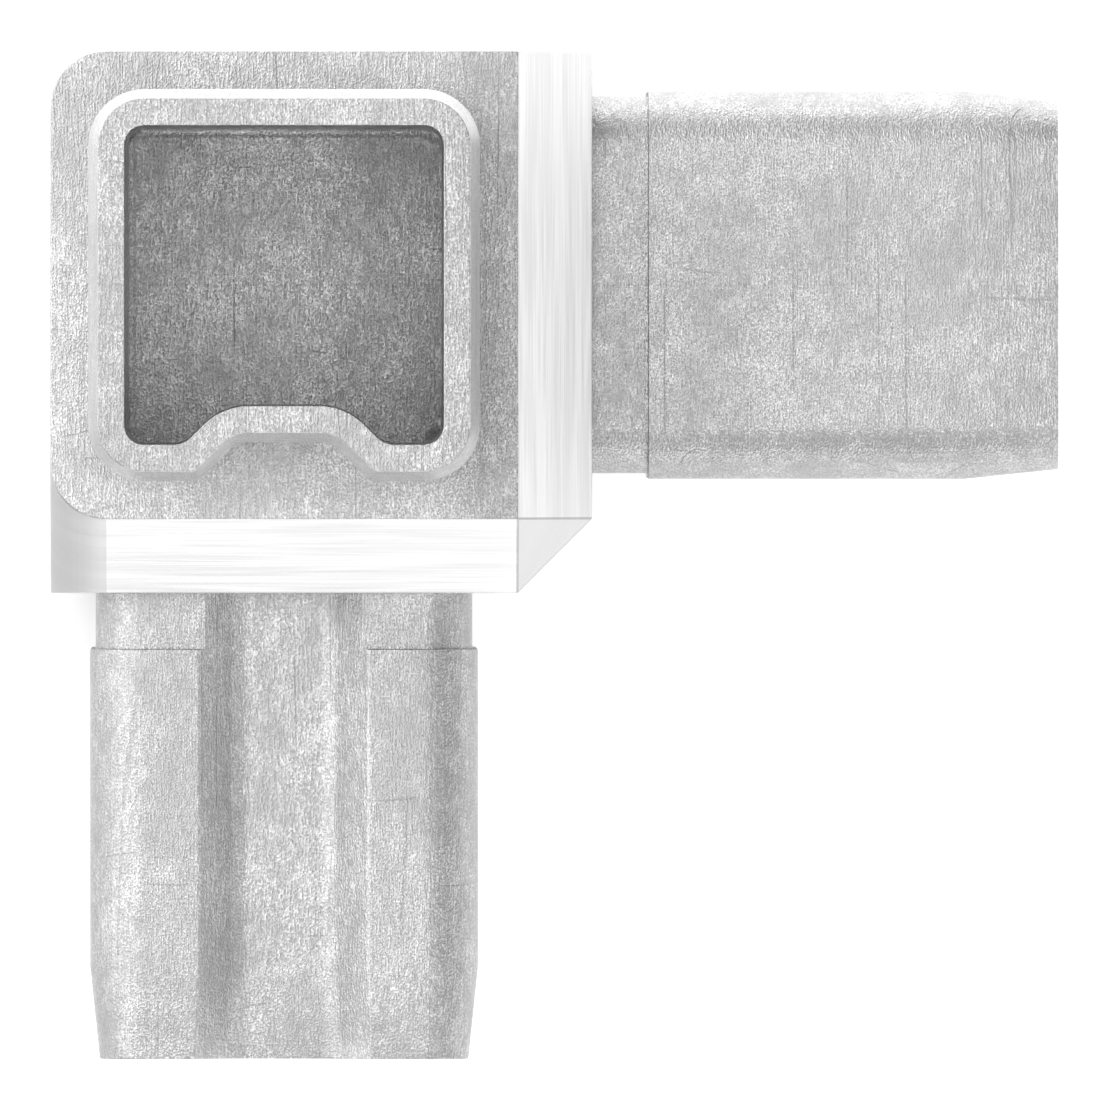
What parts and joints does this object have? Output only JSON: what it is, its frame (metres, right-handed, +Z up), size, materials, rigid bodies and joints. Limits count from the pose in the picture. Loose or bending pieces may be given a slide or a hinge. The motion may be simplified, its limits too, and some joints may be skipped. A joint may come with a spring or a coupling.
{
  "type": "square tube connector",
  "caption": "Corner connector for square tube: hollow cast block with grooved spigots at right angles, tapered tips and chamfered inner edges.",
  "frame": {"origin": "on the upright spigot's axis, at the block's base face", "axes": "+Z up along the upright spigot, +X along the side spigot, -Y along the front spigot"},
  "size_m": [0.054, 0.054, 0.054],
  "materials": {
    "galvanised_metal": "bright zinc-coated casting, light grey and faintly grained, with brushed chamfers"
  },
  "bodies": {
    "root": {"corner_connector": "galvanised_metal"}
  },
  "joints": []
}
